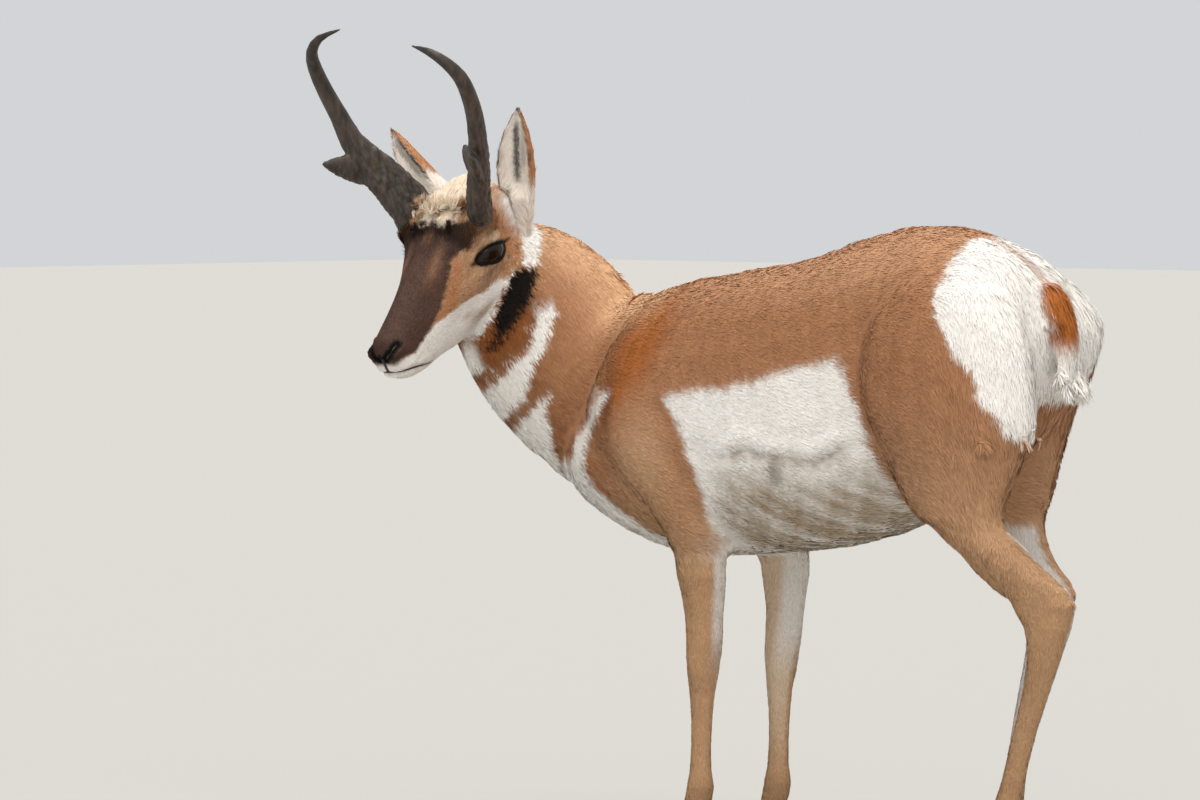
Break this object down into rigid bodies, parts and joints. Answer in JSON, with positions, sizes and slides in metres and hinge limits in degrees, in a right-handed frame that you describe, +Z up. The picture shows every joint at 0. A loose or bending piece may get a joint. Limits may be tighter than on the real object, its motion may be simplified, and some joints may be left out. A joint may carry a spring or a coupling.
{
  "type": "standing pronghorn model",
  "caption": "Life-size still pronghorn buck standing square with its head turned to its left, with forked horns, upright ears, a short tail and cloven hooves.",
  "frame": {"origin": "middle of the underside of the bounding box, at the level of the hoof soles", "axes": "-X is the way the body faces, -Y is the animal's left, towards which the head is turned, and +Z is up"},
  "size_m": [1.2532, 0.553, 1.1536],
  "materials": {
    "coat": "short dense fur, tan brown above and white on belly, rump, cheeks and throat bands",
    "eye": "dark wet eye, glossy",
    "horn": "dark rough horn with a bark-like base and a smooth tip",
    "hoof": "black horn, satin"
  },
  "bodies": {
    "root": {"torso": "coat", "neck": "coat", "head": "coat", "foreleg_left": "coat", "foreleg_right": "coat", "hindleg_left": "coat", "hindleg_right": "coat", "ear_left": "coat", "ear_right": "coat", "eye_left": "eye", "eye_right": "eye", "horn_left": "horn", "horn_right": "horn", "tail": "coat", "forehoof_left_near": "hoof", "forehoof_left_far": "hoof", "forehoof_right_near": "hoof", "forehoof_right_far": "hoof", "hindhoof_left_near": "hoof", "hindhoof_left_far": "hoof", "hindhoof_right_near": "hoof", "hindhoof_right_far": "hoof"}
  },
  "joints": []
}
